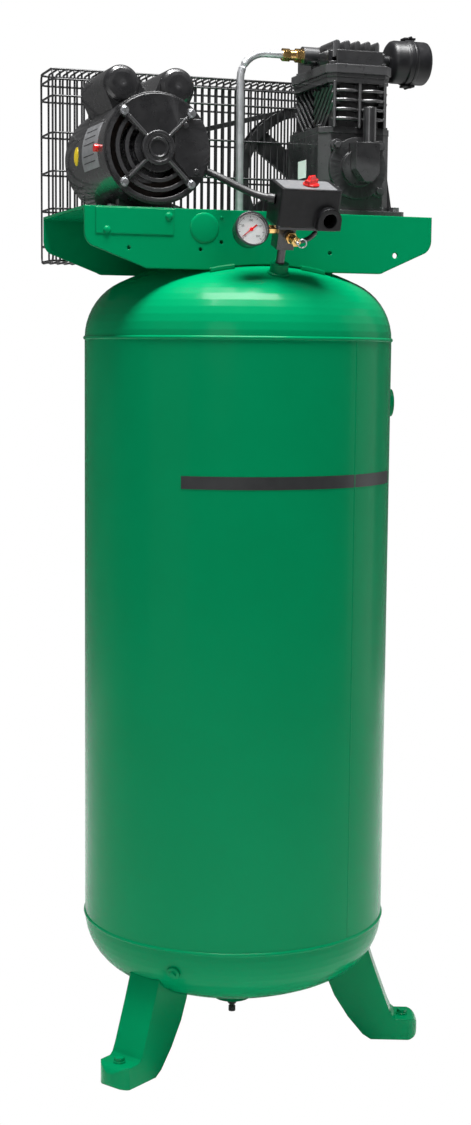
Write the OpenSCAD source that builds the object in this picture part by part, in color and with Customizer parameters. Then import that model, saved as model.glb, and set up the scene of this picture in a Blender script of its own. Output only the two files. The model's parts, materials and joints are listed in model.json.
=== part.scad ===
// Stationary vertical air compressor: receiver on three legs, motor and twin pump on a bracket.
// Millimetres, +Z up. The origin is on the floor under the centre of the whole machine.

/* [Receiver] */
// Outer radius of the tank
tank_r = 254; // [230:1:280]
// Height of the lower weld seam above the floor
seam_low = 221.6; // [210:0.1:240]
// Length of the cylindrical shell
shell_len = 970.6; // [800:0.1:1100]
// Thickness of the tank plate
plate = 3.5; // [2.5:0.5:5]

/* [Legs] */
// Radius of the tip of each toe from the tank's axis
toe_r = 320; // [300:1:330]
// Width of a leg
leg_w = 62; // [50:1:70]
// Thickness of the leg sheet
leg_t = 4; // [3:0.5:5]

/* [Bracket] */
// Left end of the bracket from the tank's axis
bracket_x0 = -297.5; // [-310:0.5:-280]
// Right end of the bracket from the tank's axis
bracket_x1 = 284; // [275:0.5:300]
// Half of the bracket's width over its flanges
bracket_y = 138; // [130:1:145]
// Height of the bracket's top face
deck_z = 1391; // [1385:1:1400]
// Height of the flanges' lower edge
flange_z = 1298; // [1290:1:1305]

/* [Drive] */
// Crank axis, to the right of the tank's axis
crank_x = 182; // [175:1:190]
// Crank axis above the bracket
crank_h = 81; // [78:1:85]
// Motor axis, from the tank's axis
motor_x = -179; // [-185:1:-170]
// Motor axis above the bracket
motor_h = 91; // [89:1:95]
// Pitch radius of the flywheel
fly_pitch = 124; // [115:1:130]
// Flywheel turns are this many times slower than the motor's
ratio = 5; // [4:0.5:6]
// Middle of the belt, behind the tank's axis
belt_y = 173; // [170:1:176]

/* [Guard] */
// Spacing of the guard's upright wires
wire_pitch = 12.5; // [10:0.5:16]
// Wire diameter
wire_d = 4; // [3:0.5:5]

/* [Switch] */
// Forward lean of the pressure switch's riser
lean = 20; // [15:1:25]

/* [Hidden] */
$fn = 48;
seam_high = seam_low + shell_len;
crown_r = 1.8 * tank_r;
knuckle_r = 0.394 * tank_r;
dome_h = crown_r - sqrt(pow(crown_r - knuckle_r, 2) - pow(tank_r - knuckle_r, 2));
knuckle_end = atan2(crown_r - dome_h, tank_r - knuckle_r);
crown_c = dome_h - crown_r;
crank_z = deck_z + crank_h;
motor_z = deck_z + motor_h;
pulley_pitch = fly_pitch / ratio;
belt_t = 8;
belt_w = 12;
sheet = 4;
port_z = 1657;
filter_x1 = 330;
fy = [148, 235];
fx = [-280, 324];
fz = [1319, 1637];
shift = [-(bracket_x0 + filter_x1) / 2, -(toe_r - tank_r) / 2, 0];
leg_angles = [-147, -21, 90];
bolt_r = 294;
toe_top = 36;
riser = [6, -172];
riser_z = seam_high + crown_c + sqrt(pow(crown_r, 2) - pow(norm(riser), 2));
switch_n = 78;
gauge_n = 70;
gauge_tilt = 78;
gauge_depth = 12;
gauge_at = [-50, riser[1] - gauge_n * sin(lean) - gauge_depth, riser_z + gauge_n * cos(lean)];
outlet_z = 1088;
outlet_turn = -10;
outlet_r = 12.1;
drain_z = seam_low - dome_h;
drain_plate_z = 62;
drain_knob_z = 35;
arch_r = sqrt(pow(crown_r, 2) - pow(bracket_y, 2)) + 2.3;
arch_z = seam_high + crown_c;
bore_r = 26;
bore_y = [-25, 53];
throw = 15;
rod_len = 100;
block_top = 1616;
green = [0.0, 0.56, 0.34];
black = [0.10, 0.10, 0.11];
iron = [0.16, 0.16, 0.17];
brass = [0.80, 0.62, 0.28];
steel = [0.70, 0.71, 0.73];

// ---- helpers ----

// Moves children from the tank's axis to the machine's origin
module on_tank() { translate(shift) children(); }

// Cylinder along Y from y0 to y1, about (x, z)
module rod_y(x, z, y0, y1, r, fn = 0) {
    translate([x, y1, z]) rotate([90, 0, 0]) cylinder(r = r, h = y1 - y0, $fn = fn > 0 ? fn : $fn);
}

// Cylinder along X from x0 to x1, about (y, z)
module rod_x(y, z, x0, x1, r, fn = 0) {
    translate([x0, y, z]) rotate([0, 90, 0]) cylinder(r = r, h = x1 - x0, $fn = fn > 0 ? fn : $fn);
}

// Tube along Y with an outer and an inner radius
module ring_y(x, z, y0, y1, r, bore) {
    difference() {
        rod_y(x, z, y0, y1, r);
        rod_y(x, z, y0 - 1, y1 + 1, bore);
    }
}

// Box between two corners
module block(a, b) { translate(a) cube(b - a); }

// Points of an arc
function arc(c, r, a0, a1, n) = [for (i = [0 : n]) let (a = a0 + (a1 - a0) * i / n) c + r * [cos(a), sin(a)]];

// Outline of a rectangle with round corners, from corner a to corner b
function round_rect(a, b, r, n = 5) = concat(
    arc([b[0] - r, b[1] - r], r, 0, 90, n), arc([a[0] + r, b[1] - r], r, 90, 180, n),
    arc([a[0] + r, a[1] + r], r, 180, 270, n), arc([b[0] - r, a[1] + r], r, 270, 360, n));

// Outline of a rectangle with cut corners
function cut_rect(a, b, c) = [[a[0] + c, a[1]], [b[0] - c, a[1]], [b[0], a[1] + c], [b[0], b[1] - c],
    [b[0] - c, b[1]], [a[0] + c, b[1]], [a[0], b[1] - c], [a[0], a[1] + c]];

// Outer line of a tank head, moved inwards by t, from its rim to its pole
function head_line(t) = concat(
    arc([tank_r - knuckle_r, 0], knuckle_r - t, 0, knuckle_end, 9),
    [for (i = [1 : 12]) let (a = knuckle_end + (90 - knuckle_end) * i / 12)
        [i == 12 ? 0 : (crown_r - t) * cos(a), crown_c + (crown_r - t) * sin(a)]]);

// Reversed list
function turned(v) = [for (i = [len(v) - 1 : -1 : 0]) v[i]];

// Solid dome with the head's outer surface
module dome() { rotate_extrude($fn = 96) polygon(concat([[0, 0]], head_line(0))); }

// Head plate with the lip that slips into the shell
module head() {
    lip = plate + 0.1;
    rotate_extrude($fn = 96) polygon(concat(head_line(0), turned(head_line(plate)),
        [[tank_r - 2 * plate, 0], [tank_r - 2 * plate, -16], [tank_r - lip, -16], [tank_r - lip, 0]]));
}

// The riser's own frame: Z along the riser, from the dome
module on_riser() { translate([riser[0], riser[1], riser_z]) rotate([lean, 0, 0]) children(); }

// The gauge's own frame: Z out of the dial
module on_gauge() { translate(gauge_at) rotate([gauge_tilt, 0, 0]) children(); }

// Round tube along points, as one closed polyhedron
function unit(v) = v / norm(v);
function heading(p, i) = unit(p[min(i + 1, len(p) - 1)] - p[max(i - 1, 0)]);
function side_of(d) = unit(cross(d, abs(d[2]) > 0.9 ? [0, 1, 0] : [0, 0, 1]));
module hose(p, r, sides) {
    n = len(p);
    rings = [for (i = [0 : n - 1]) let (d = heading(p, i), s = side_of(d), u = cross(s, d))
        for (k = [0 : sides - 1]) p[i] + r * (cos(360 * k / sides) * s + sin(360 * k / sides) * u)];
    walls = [for (i = [0 : n - 2]) for (k = [0 : sides - 1])
        let (a = i * sides + k, b = i * sides + (k + 1) % sides) [a, b, b + sides, a + sides]];
    polyhedron(rings, concat([[for (k = [sides - 1 : -1 : 0]) k]], walls,
        [[for (k = [0 : sides - 1]) (n - 1) * sides + k]]), 4);
}

// ---- receiver ----

module tank_shell() {
    on_tank() color(green) difference() {
        translate([0, 0, seam_low]) cylinder(r = tank_r, h = shell_len, $fn = 128);
        translate([0, 0, seam_low - 1]) cylinder(r = tank_r - plate, h = shell_len + 2, $fn = 128);
        outlet_frame() translate([0, 0, -20]) cylinder(r = outlet_r, h = 40);
    }
}

// Frame of the side outlet: Z points out of the shell
module outlet_frame() {
    rotate([0, 0, outlet_turn]) translate([tank_r, 0, outlet_z]) rotate([0, 90, 0]) children();
}

module tank_top_head() {
    on_tank() color(green) difference() {
        translate([0, 0, seam_high]) head();
        translate([0, 0, seam_high]) cylinder(r = 12, h = 200);
        on_riser() translate([0, 0, -20]) cylinder(r = 9, h = 40);
    }
}

module tank_bottom_head() {
    on_tank() color(green) difference() {
        translate([0, 0, seam_low]) mirror([0, 0, 1]) head();
        translate([0, 0, drain_z - 20]) cylinder(r = 8, h = 40);
    }
}

// Welded bungs: top centre, riser, drain, side outlet and the plugged inspection port
module tank_ports() {
    on_tank() color(green) {
        difference() {
            translate([0, 0, seam_high + dome_h - 6]) cylinder(r = 19, h = 14);
            translate([0, 0, seam_high + dome_h - 10]) cylinder(r = 10.1, h = 40);
            translate([0, 0, seam_high]) dome();
        }
        difference() {
            on_riser() translate([0, 0, -12]) cylinder(r = 14.5, h = 29);
            on_riser() translate([0, 0, -20]) cylinder(r = nipple_r + 0.1, h = 50);
            translate([0, 0, seam_high]) dome();
        }
        difference() {
            union() {
                translate([0, 0, drain_plate_z]) cylinder(r = 32, h = 8);
                translate([0, 0, drain_plate_z + 7]) cylinder(r = 22, h = 30);
            }
            translate([0, 0, drain_plate_z - 1]) cylinder(r = 7.1, h = 60);
            translate([0, 0, seam_low]) mirror([0, 0, 1]) dome();
        }
        difference() {
            outlet_frame() translate([0, 0, -3]) cylinder(r = 23, h = 12);
            outlet_frame() translate([0, 0, -10]) cylinder(r = outlet_r, h = 40);
            translate([0, 0, seam_low]) cylinder(r = tank_r, h = shell_len, $fn = 128);
        }
        difference() {
            rotate([0, 0, -131.5]) translate([246, 0, seam_low - 37.5]) rotate([0, 112, 0]) {
                translate([0, 0, -8]) cylinder(r = 11, h = 13);
                translate([0, 0, 4]) cylinder(r = 6.5, h = 5, $fn = 4);
            }
            translate([0, 0, seam_low]) mirror([0, 0, 1]) dome();
        }
    }
}

// ---- legs ----

// Side outline of a leg, in radius and height
function leg_side() = concat([[148, 160], [162, 112], [176, 78], [200, 40], [226, 9], [240, 0], [308, 0]],
    arc([toe_r - 10, 10], 10, -60, 0, 3), arc([toe_r - 15, toe_top - 15], 15, 10, 90, 5),
    [[282, toe_top], [276, toe_top + 5], [270, toe_top + 18], [246, 120], [214, 215]]);

// Rounds the toe in plan: everything outside a circle of radius r
module toe_corner(r) {
    difference() {
        translate([toe_r - 38, -80, -5]) cube([80, 160, 80]);
        translate([toe_r - 38, 0, -6]) cylinder(r = r, h = 82);
    }
}

module leg(angle) {
    on_tank() color(green) rotate([0, 0, angle]) difference() {
        translate([0, leg_w / 2, 0]) rotate([90, 0, 0]) linear_extrude(leg_w) polygon(leg_side());
        toe_corner(38);
        difference() {
            translate([-leg_t, leg_w / 2 - leg_t, -leg_t]) rotate([90, 0, 0])
                linear_extrude(leg_w - 2 * leg_t) polygon(leg_side());
            toe_corner(38 - leg_t);
        }
        block([100, -leg_w / 2 + leg_t, -1], [238, leg_w / 2 - leg_t, 30]);
        block([140, -leg_w / 2 + leg_t, 20], [192, leg_w / 2 - leg_t, 165]);
        translate([bolt_r, 0, 20]) cylinder(r = 6.2, h = 60);
        translate([0, 0, seam_low]) mirror([0, 0, 1]) dome();
        translate([0, 0, seam_low - 0.1]) cylinder(r = 400, h = 100);
    }
}

module leg_front_left() { leg(leg_angles[0]); }

module leg_front_right() { leg(leg_angles[1]); }

module leg_rear() { leg(leg_angles[2]); }

// Bolts through the toes, each with its washer
module foot_bolts() {
    on_tank() color(green) for (a = leg_angles) rotate([0, 0, a]) translate([bolt_r, 0, 0]) {
        translate([0, 0, 4]) cylinder(r = 6, h = toe_top);
        translate([0, 0, toe_top]) cylinder(r = 10, h = 2);
        translate([0, 0, toe_top + 2]) cylinder(r = 8.5, h = 6, $fn = 6);
    }
}

// ---- drain ----

module drain_valve_body() {
    z = drain_plate_z;
    on_tank() color(brass) difference() {
        union() {
            translate([0, 0, z - 1]) cylinder(r = 7, h = 20);
            translate([0, 0, z - 14]) cylinder(r1 = 6.5, r2 = 15, h = 13.9);
        }
        translate([0, 0, z - 16]) cylinder(r = 3.05, h = 40);
    }
}

module drain_valve_knob() {
    z = drain_knob_z;
    on_tank() color(brass) {
        translate([0, 0, z + 8]) cylinder(r = 3, h = 20);
        difference() {
            translate([0, 0, z]) cylinder(r = 6, h = 9);
            for (a = [0 : 45 : 315]) rotate([0, 0, a]) translate([6.8, 0, z - 1]) cylinder(r = 1.4, h = 11);
        }
    }
}

// ---- bracket ----

// Outline of the bracket's flanges
function flange_side() = let (x0 = bracket_x0, x1 = bracket_x1, z0 = flange_z, z1 = deck_z) concat(
    [[x0, z1], [x0, z1 - 40]], arc([x0 + 24, z1 - 40], 24, 190, 235, 4), [[-206, z0 + 3]],
    arc([-197, z0 + 14], 14, 245, 270, 3), arc([192, z0 + 14], 14, 270, 295, 3),
    [[201, z0 + 3]], arc([x1 - 24, z1 - 38], 24, 305, 350, 4), [[x1, z1 - 38], [x1, z1]]);

module base_bracket() {
    holes = [[-227, 1329, 3], [-111, 1329, 3], [-77, 1341, 3], [106, 1329, 3], [220, 1328, 4.5]];
    on_tank() color(green) {
        difference() {
            translate([0, bracket_y, 0]) rotate([90, 0, 0]) linear_extrude(2 * bracket_y) polygon(flange_side());
            block([bracket_x0 - 1, -bracket_y + sheet, flange_z - 1],
                [bracket_x1 + 1, bracket_y - sheet, deck_z - sheet]);
            rod_y(0, arch_z, -bracket_y - 1, bracket_y + 1, arch_r, 128);
            for (h = holes) rod_y(h[0], h[1], -bracket_y - 1, 0, h[2]);
            translate([0, 0, deck_z - 10]) cylinder(r = 13, h = 20);
            for (p = motor_bolt_at()) translate([p[0], p[1], deck_z - 10]) cylinder(r = 4.2, h = 20);
            for (p = pump_bolt_at()) translate([p[0], p[1], deck_z - 10]) cylinder(r = 5.2, h = 20);
        }
        for (sx = [-1, 1], sy = [-1, 1]) weld_bead(sx, sy);
    }
}

// Weld that joins a flange's arched edge to the dome
module weld_bead(sx, sy) {
    x = sx > 0 ? 56 : -96;
    difference() {
        block([x, sy > 0 ? bracket_y - 3 : -bracket_y - 5, arch_z],
            [x + 40, sy > 0 ? bracket_y + 5 : -bracket_y + 3, 1320]);
        translate([0, 0, seam_high]) dome();
        difference() {
            block([-200, -200, arch_z - 1], [200, 200, 1330]);
            rod_y(0, arch_z, -300, 300, arch_r + 3, 128);
        }
    }
}

function motor_bolt_at() = [for (x = [-1, 1], y = [-1, 1]) [motor_x + 52 * x, 50 * y]];

function pump_bolt_at() = [for (x = [-1, 1], y = [-50, 100]) [crank_x + 74 * x, y]];

// Hex bolts that hold the motor and the pump down
module base_bolts() {
    on_tank() color(steel) {
        for (p = motor_bolt_at()) translate([p[0], p[1], 0]) {
            translate([0, 0, deck_z - 14]) cylinder(r = 4, h = 22);
            translate([0, 0, deck_z + 5]) cylinder(r = 7, h = 5, $fn = 6);
            translate([0, 0, deck_z - 12]) cylinder(r = 7, h = 7.9, $fn = 6);
        }
        for (p = pump_bolt_at()) translate([p[0], p[1], 0]) {
            translate([0, 0, deck_z - 16]) cylinder(r = 5, h = 34);
            translate([0, 0, deck_z + 14]) cylinder(r = 9, h = 7, $fn = 6);
            translate([0, 0, deck_z - 14]) cylinder(r = 9, h = 9.9, $fn = 6);
        }
    }
}

// ---- motor ----

motor_r = 85.5;
bell_y0 = -130;
shell_y0 = -100;
shell_y1 = 98;
bell_y1 = 125;
stud_r = 76;

// The motor's frame: X and Z across, Y along the shaft
module on_motor() { translate([motor_x, 0, motor_z]) children(); }

module motor_shell() {
    on_tank() color(black) on_motor() difference() {
        ring_y(0, 0, shell_y0, shell_y1, motor_r, motor_r - 3);
        rod_x(-91, 0, -motor_r - 5, -motor_r + 10, 6.2);
    }
}

// Ring sector of a vent, between two radii and two angles, cut along Y
module vent(r0, r1, a0, a1, y0, y1) {
    translate([0, y1, 0]) rotate([90, 0, 0]) linear_extrude(y1 - y0)
        polygon(concat(arc([0, 0], r1, a0, a1, 10), turned(arc([0, 0], r0, a0, a1, 10))));
}

module motor_front_bell() {
    y = bell_y0;
    on_tank() color(black) on_motor() difference() {
        union() {
            rod_y(0, 0, y, y + 6, motor_r - 3, 96);
            rod_y(0, 0, y + 4, shell_y0, motor_r, 96);
            rod_y(0, 0, y - 7, y + 1, 24);
            rod_y(0, 0, y + 1, y + 24, 25);
            for (a = [45, 135]) rotate([0, a, 0]) block([-68.5, y - 3, -2.5], [68.5, y + 1, 2.5]);
            for (a = [45 : 90 : 315]) rotate([0, a, 0]) rod_y(stud_r, 0, y - 2, y + 10, 8);
        }
        difference() {
            rod_y(0, 0, y + 6, shell_y0 + 1, motor_r - 4, 96);
            rod_y(0, 0, y + 5, y + 24, 25);
            for (a = [45 : 90 : 315]) rotate([0, a, 0]) rod_y(stud_r, 0, y, y + 10, 8);
        }
        rod_y(0, 0, y - 3, y + 30, 10);
        rod_y(0, 0, y + 11, y + 30, 20);
        rod_y(0, 0, y - 8, y - 5, 17);
        for (k = [0 : 2], s = [[140, 220], [230, 310]]) vent(37 + 15 * k, 46 + 15 * k, s[0], s[1], y - 5, y + 10);
        for (a = [45 : 90 : 315]) rotate([0, a, 0]) rod_y(stud_r, 0, y - 8, y + 12, 3);
        for (z = [36, -34]) rod_y(z > 0 ? 34 : 62, z, y - 5, y + 8, 2);
    }
}

module motor_rear_bell() {
    y = bell_y1;
    on_tank() color(black) on_motor() difference() {
        union() {
            rod_y(0, 0, y - 6, y, motor_r - 8, 96);
            rod_y(0, 0, shell_y1, y - 5, motor_r, 96);
            rod_y(0, 0, y, y + 5, 24);
        }
        difference() {
            rod_y(0, 0, shell_y1 - 1, y - 6, motor_r - 4, 96);
            rod_y(0, 0, shell_y1 + 2, y - 5, 25);
        }
        rod_y(0, 0, shell_y1 - 1, y + 10, 10);
        rod_y(0, 0, shell_y1 - 1, y - 9, 20);
        for (k = [0 : 2], q = [0 : 3]) vent(36 + 12 * k, 43 + 12 * k, 15 + 90 * q, 75 + 90 * q, y - 10, y + 8);
        for (a = [45 : 90 : 315]) rotate([0, a, 0]) rod_y(stud_r - 3, 0, shell_y1, y + 12, 3);
    }
}

// Laminated core with its end turns
module motor_stator() {
    on_tank() color([0.62, 0.36, 0.18]) on_motor() difference() {
        union() {
            rod_y(0, 0, -55, 55, motor_r - 3.1, 96);
            rod_y(0, 0, -84, 84, 70);
        }
        rod_y(0, 0, -90, 90, 50);
        for (a = [45 : 90 : 315]) rotate([0, a, 0]) rod_y(stud_r, 0, -60, 60, 8);
        for (a = [45 : 90 : 315]) rotate([0, a, 0]) rod_y(stud_r - 3, 0, -60, 60, 8);
    }
}

module motor_rotor() {
    on_tank() color(steel) on_motor() {
        rod_y(0, 0, -56, 56, 48.5, 96);
        rod_y(0, 0, -121, 196, 8.45);
        difference() {
            rod_y(0, 0, 60, 74, 46);
            for (a = [0 : 30 : 330]) rotate([0, a, 0]) block([16, 64, -4.5], [50, 80, 4.5]);
        }
    }
}

module motor_pulley() {
    r = pulley_pitch + belt_t / 2;
    on_tank() color(iron) on_motor() difference() {
        union() {
            rod_y(0, 0, belt_y - 12, belt_y + 12, r);
            rod_y(0, 0, belt_y - 22, belt_y - 11, 16);
        }
        rod_y(0, 0, 100, 230, 8.5);
        difference() {
            rod_y(0, 0, belt_y - belt_w / 2 - 1, belt_y + belt_w / 2 + 1, r + 5);
            rod_y(0, 0, belt_y - 20, belt_y + 20, r - belt_t - 1.5);
        }
    }
}

// Place of a capacitor cover's axis
cap_axis = 110;
module on_capacitor(side) { on_motor() rotate([0, 24 * side, 0]) translate([0, 0, cap_axis]) children(); }

// Cover shape shrunk by t: a round can with soft ends on a skirt
module cover_shape(t) {
    r = 29 - t;
    translate([0, 62 - t, 0]) rotate([90, 0, 0]) rotate_extrude()
        polygon([[0, 0], [r - 4, 0], [r, 6], [r, 143 - 2 * t], [r - 2, 149 - 2 * t], [r - 6, 153 - 2 * t],
            [r - 12, 154.5 - 2 * t], [0, 155 - 2 * t]]);
    block([t - 29, t - 84, -38 - 10 * t], [29 - t, 58 - t, 0]);
}

module capacitor_covers() {
    on_tank() color(black) for (side = [-1, 1]) difference() {
        on_capacitor(side) cover_shape(0);
        on_capacitor(side) cover_shape(3);
        on_motor() rod_y(0, 0, -100, 90, motor_r + 0.1, 96);
    }
}

module capacitors() {
    on_tank() color(iron) for (side = [-1, 1]) on_capacitor(side) {
        rod_y(0, 3.9, -62, 45, 22);
        for (x = [-7, 7]) rod_y(x, 3.9, -72, -61, 2.5);
    }
}

// Rigid base with two saddles under the shell
module motor_base() {
    on_tank() color(black) difference() {
        union() {
            block([motor_x - 66, -72, deck_z], [motor_x + 66, 72, deck_z + 5]);
            for (y = [-62, 46]) block([motor_x - 44, y, deck_z], [motor_x + 44, y + 16, deck_z + 30]);
        }
        on_motor() rod_y(0, 0, -90, 90, motor_r + 0.1, 96);
        for (p = motor_bolt_at()) translate([p[0], p[1], deck_z - 10]) cylinder(r = 4.2, h = 80);
        for (p = motor_bolt_at()) translate([p[0], p[1], deck_z + 5]) cylinder(r = 9, h = 80);
    }
}

// Four long bolts that clamp the bells to the shell
module motor_bolts() {
    on_tank() color(steel) on_motor() for (a = [45 : 90 : 315]) rotate([0, a, 0]) {
        rod_y(stud_r, 0, bell_y0 - 3, shell_y1 - 6, 2.5);
        rod_y(stud_r, 0, bell_y0 - 3.5, bell_y0 - 2, 6.5);
        rod_y(stud_r, 0, bell_y0 - 8, bell_y0 - 3.5, 5, 6);
    }
}

// Flat cover of the wiring space, with its two screws
module terminal_cover() {
    y = bell_y0;
    on_tank() color(black) on_motor() {
        intersection() {
            translate([0, y, 0]) rotate([90, 0, 0]) linear_extrude(3)
                polygon([[27, 30], [36, 46], [90, 46], [90, -42], [50, -42], [27, -16]]);
            difference() {
                rod_y(0, 0, y - 5, y + 5, motor_r - 3.5, 96);
                for (a = [45, 315]) rotate([0, a, 0]) rod_y(stud_r, 0, y - 9, y + 10, 8.5);
                for (a = [45, 135]) rotate([0, a, 0]) block([-90, y - 9, -2.7], [90, y + 9, 2.7]);
            }
        }
        for (z = [36, -34]) rod_y(z > 0 ? 44 : 62, z, y - 5.5, y - 2.9, 4);
    }
}

module reset_button() {
    on_tank() color([0.80, 0.08, 0.08]) on_motor() {
        rod_x(-91, 0, -motor_r - 6, -motor_r + 8, 6);
    }
}

// ---- pump ----

case_x = [crank_x - 62.5, crank_x + 62.5];
case_y = [-62, 108];
case_z1 = 1528;
cover_y = -72;

module crankcase() {
    c = 16;
    on_tank() color(iron) difference() {
        union() {
            translate([0, 0, deck_z + 2]) linear_extrude(case_z1 - deck_z - 2)
                polygon(cut_rect([case_x[0], case_y[0]], [case_x[1], case_y[1]], c));
            translate([0, 0, deck_z]) linear_extrude(13)
                polygon(round_rect([crank_x - 86, -70], [crank_x + 86, 118], 10));
            rod_y(crank_x, crank_z, case_y[1] - 2, 130, 38);
            for (x = [case_x[0] - 16, case_x[1] - 1], y = [-30, 46])
                translate([0, y + 5, 0]) rotate([90, 0, 0]) linear_extrude(7)
                    polygon(x < crank_x ? [[x, deck_z + 12], [x + 18, deck_z + 12], [x + 18, 1445]]
                        : [[x + 17, deck_z + 12], [x, deck_z + 12], [x, 1500]]);
        }
        translate([0, 0, deck_z + 13]) linear_extrude(case_z1 - deck_z)
            polygon(cut_rect([case_x[0] + 8, case_y[0] + 8], [case_x[1] - 8, case_y[1] - 8], 13));
        rod_y(crank_x, crank_z, -80, -40, 40);
        rod_y(crank_x, crank_z, 90, 140, 16);
        rod_y(crank_x, crank_z, 106, 124, 26);
        for (p = pump_bolt_at()) translate([p[0], p[1], deck_z - 10]) cylinder(r = 5.2, h = 60);
        for (q = cover_bolt_at()) rod_y(q[0], q[1], case_y[0] - 1, case_y[0] + 12, 3);
        for (q = deck_bolt_at()) translate([q[0], q[1], case_z1 - 16]) cylinder(r = 3.2, h = 20);
        rod_x(20, 1502, case_x[1] - 12, case_x[1] + 5, 8.1);
    }
}

function cover_bolt_at() = [for (x = [-1, 1], z = [-1, 1]) [crank_x + 38 * x, crank_z + 36 * z]];

function deck_bolt_at() = [for (x = [-1, 1], y = [-40, 14, 68]) [crank_x + 58.5 * x, y]];

// Front cover that carries the crankshaft's front bearing
module bearing_cover() {
    on_tank() color(iron) difference() {
        union() {
            rod_y(crank_x, crank_z, cover_y + 4, case_y[0], 50);
            rod_y(crank_x, crank_z, case_y[0] - 1, -48, 39.8);
            rod_y(crank_x, crank_z, cover_y - 4, cover_y + 5, 30);
            for (x = [-1, 1], z = [-1, 1]) rod_y(crank_x + 38 * x, crank_z + 36 * z, cover_y + 4, case_y[0], 10);
        }
        rod_y(crank_x, crank_z, -61, -40, 20);
        for (q = cover_bolt_at()) rod_y(q[0], q[1], cover_y - 5, case_y[0] + 12, 3.2);
        breather_box(0.1);
    }
}

// Space of the breather's pocket, grown by g
module breather_box(g) {
    translate([0, -66, 0]) rotate([90, 0, 0]) linear_extrude(32 + g)
        polygon([[crank_x - 16 - g, crank_z - 4], [crank_x, crank_z - 24 - g], [crank_x + 14, crank_z - 24 - g],
            [crank_x + 26 + g, crank_z - 10], [crank_x + 26 + g, crank_z + 39 + g], [crank_x - 16 - g, crank_z + 39 + g]]);
}

module breather() {
    on_tank() color(iron) difference() {
        union() {
            breather_box(0);
            translate([crank_x + 13, -83, crank_z + 38]) cylinder(r = 11, h = 58);
        }
        translate([crank_x + 13, -83, crank_z - 12]) cylinder(r = 7, h = 104);
        for (a = [0, 90]) translate([crank_x + 13, -83, crank_z + 80]) rotate([0, 90, a]) cylinder(r = 2, h = 12);
    }
}

module crankshaft() {
    on_tank() color(steel) {
        rod_y(crank_x, crank_z, -59, -44, 9.95);
        for (y = bore_y) {
            rod_y(crank_x, crank_z, y - 20, y - 12, 34);
            rod_y(crank_x, crank_z + throw, y - 13, y + 13, 11);
            rod_y(crank_x, crank_z, y + 12, y + 20, 34);
        }
        rod_y(crank_x, crank_z, bore_y[0] + 19, bore_y[1] - 19, 14);
        rod_y(crank_x, crank_z, bore_y[1] + 19, 193, 12.45);
    }
}

// Ball bearings of the crankshaft and the motor, as closed rings
module ball_bearings() {
    on_tank() color(steel) {
        ring_y(crank_x, crank_z, -61, -48, 20, 10);
        ring_y(crank_x, crank_z, 108, 123, 26, 12.5);
        on_motor() ring_y(0, 0, bell_y0 + 11, bell_y0 + 23, 20, 8.5);
        on_motor() ring_y(0, 0, bell_y1 - 21, bell_y1 - 9, 20, 8.5);
    }
}

// Finned block of two cylinders in line
module cylinder_block() {
    x0 = crank_x - 46;
    x1 = crank_x + 46;
    y0 = -70;
    y1 = 98;
    z0 = case_z1;
    on_tank() color(iron) difference() {
        union() {
            translate([0, 0, z0]) linear_extrude(10) polygon(cut_rect([case_x[0], -66], [case_x[1], 102], 18));
            block([crank_x - 35, -59, z0], [crank_x + 35, 87, block_top]);
            translate([0, 0, block_top - 9]) linear_extrude(9) polygon(cut_rect([x0 - 8, y0 - 4], [x1 + 8, y1 + 4], 12));
            for (k = [0 : 3]) block([x0, y0, z0 + 20 + 15 * k], [x1, -50, z0 + 24 + 15 * k]);
            for (k = [0 : 3]) block([x0, 80, z0 + 20 + 15 * k], [x1, y1, z0 + 24 + 15 * k]);
            for (x = [x0, crank_x - 2, x1 - 4]) block([x, y0, z0 + 9], [x + 4, -50, block_top - 8]);
            for (x = [x0, x1 - 4]) block([x, 80, z0 + 9], [x + 4, y1, block_top - 8]);
            for (side = [-1, 1]) chevrons(side);
        }
        for (y = bore_y) translate([crank_x, y, z0 - 1]) cylinder(r = bore_r, h = 120);
        for (q = deck_bolt_at()) translate([q[0], q[1], z0 - 1]) cylinder(r = 3.2, h = 20);
        for (q = head_bolt_at()) translate([q[0], q[1], block_top - 14]) cylinder(r = 3.6, h = 20);
    }
}

// V-shaped cooling ribs on one flank of the block
module chevrons(side) {
    mid = 14;
    intersection() {
        block([crank_x - 46, -70, case_z1 + 9], [crank_x + 46, 98, block_top - 8]);
        for (k = [-3 : 4], s = [-1, 1])
            translate([crank_x + 40 * side, mid, case_z1 + 18 + 16 * k]) rotate([42 * s, 0, 0])
                block([-6, s > 0 ? -2 : -130, 0], [6, s > 0 ? 130 : 2, 4]);
    }
}

function head_bolt_at() = [for (x = [-1, 1], y = [-60, 14, 88]) [crank_x + 44 * x, y]];

// Both rods, with their big ends round the crankpins
module connecting_rods() {
    pin_z = crank_z + throw;
    on_tank() color(steel) for (y = bore_y) difference() {
        union() {
            rod_y(crank_x, pin_z, y - 11, y + 11, 17);
            block([crank_x - 5, y - 6, pin_z + 14], [crank_x + 5, y + 6, pin_z + rod_len]);
            rod_y(crank_x, pin_z + rod_len, y - 6, y + 6, 6.5);
        }
        rod_y(crank_x, pin_z, y - 12, y + 12, 11.05);
        rod_y(crank_x, pin_z + rod_len, y - 12, y + 12, 4);
    }
}

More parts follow.
